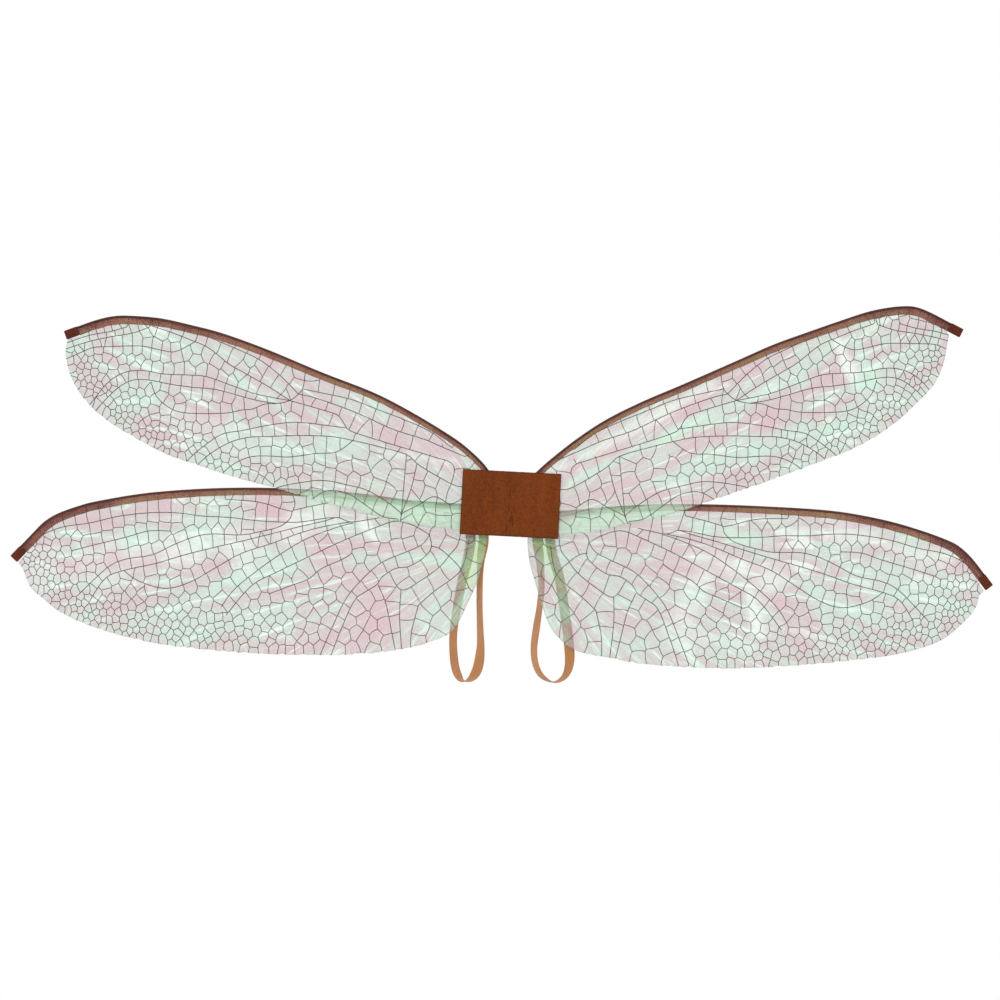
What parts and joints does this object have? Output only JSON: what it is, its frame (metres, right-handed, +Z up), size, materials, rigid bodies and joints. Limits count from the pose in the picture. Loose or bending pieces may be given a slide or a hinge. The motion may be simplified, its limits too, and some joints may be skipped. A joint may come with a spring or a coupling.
{
  "type": "fairy wings",
  "caption": "Dragonfly-style costume wings: veined film wings on wire leading edges, held in a folding suede back patch with elastic arm loops.",
  "frame": {"origin": "middle of the back patch, on the face that lies against the wearer's back", "axes": "+X along the span to the wings' right as seen from outside, +Z up, +Y out of the inner face towards the wearer"},
  "size_m": [0.9822, 0.0181, 0.3771],
  "materials": {
    "wing_film": "thin hazy iridescent film, pink and mint by reflection, printed with a brown vein net",
    "vein_ink": "matte printed ink line",
    "wire": "dark brown covered wire",
    "edge_tape": "translucent red-brown film tape folded over the wire",
    "wrap_suede": "dark brown matte wrap",
    "suede": "brown imitation suede with raw cut edges",
    "elastic": "tan woven flat elastic",
    "thread": "tan sewing thread"
  },
  "bodies": {
    "right_half": {"right_outer_patch": "suede", "right_inner_patch": "suede", "right_root_tie": "thread", "right_strap_long_end": "elastic", "right_strap_short_end": "elastic", "right_strap_stitches": "thread", "upper_right_film_root": "wing_film", "upper_right_wire_root": "wire", "upper_right_binding_root": "edge_tape", "lower_right_film_root": "wing_film", "lower_right_wire_root": "wire", "lower_right_binding_root": "edge_tape"},
    "upper_right_wing": {"upper_right_film": "wing_film", "upper_right_wire": "wire", "upper_right_binding": "edge_tape", "upper_right_tip_wrap": "wrap_suede"},
    "lower_right_wing": {"lower_right_film": "wing_film", "lower_right_wire": "wire", "lower_right_binding": "edge_tape", "lower_right_tip_wrap": "wrap_suede"},
    "right_strap": {"right_arm_loop": "elastic"},
    "left_half": {"left_outer_patch": "suede", "left_inner_patch": "suede", "left_root_tie": "thread", "left_strap_long_end": "elastic", "left_strap_short_end": "elastic", "left_strap_stitches": "thread", "upper_left_film_root": "wing_film", "upper_left_wire_root": "wire", "upper_left_binding_root": "edge_tape", "lower_left_film_root": "wing_film", "lower_left_wire_root": "wire", "lower_left_binding_root": "edge_tape"},
    "upper_left_wing": {"upper_left_film": "wing_film", "upper_left_wire": "wire", "upper_left_binding": "edge_tape", "upper_left_tip_wrap": "wrap_suede"},
    "lower_left_wing": {"lower_left_film": "wing_film", "lower_left_wire": "wire", "lower_left_binding": "edge_tape", "lower_left_tip_wrap": "wrap_suede"},
    "left_strap": {"left_arm_loop": "elastic"}
  },
  "joints": [
    {"name": "centre_fold", "type": "hinge", "parent": "right_half", "child": "left_half", "pos_m": [0, -0.0083, 0], "axis": [0, 0, 1], "range_deg": [-40, 175]},
    {"name": "upper_left_bend", "type": "hinge", "parent": "left_half", "child": "upper_left_wing", "pos_m": [-0.068, -0.00555, 0], "axis": [0, 0, -1], "range_deg": [-40, 0]},
    {"name": "lower_left_bend", "type": "hinge", "parent": "left_half", "child": "lower_left_wing", "pos_m": [-0.068, -0.00255, 0], "axis": [0, 0, 1], "range_deg": [-25, 0]},
    {"name": "upper_right_bend", "type": "hinge", "parent": "right_half", "child": "upper_right_wing", "pos_m": [0.068, -0.00555, 0], "axis": [0, 0, 1], "range_deg": [-40, 0]},
    {"name": "lower_right_bend", "type": "hinge", "parent": "right_half", "child": "lower_right_wing", "pos_m": [0.068, -0.00255, 0], "axis": [0, 0, -1], "range_deg": [-25, 0]},
    {"name": "left_strap_swing", "type": "hinge", "parent": "left_half", "child": "left_strap", "pos_m": [0, 0.0006, -0.037], "axis": [1, 0, 0], "range_deg": [0, 110]},
    {"name": "right_strap_swing", "type": "hinge", "parent": "right_half", "child": "right_strap", "pos_m": [0, 0.0006, -0.037], "axis": [1, 0, 0], "range_deg": [0, 110]}
  ]
}
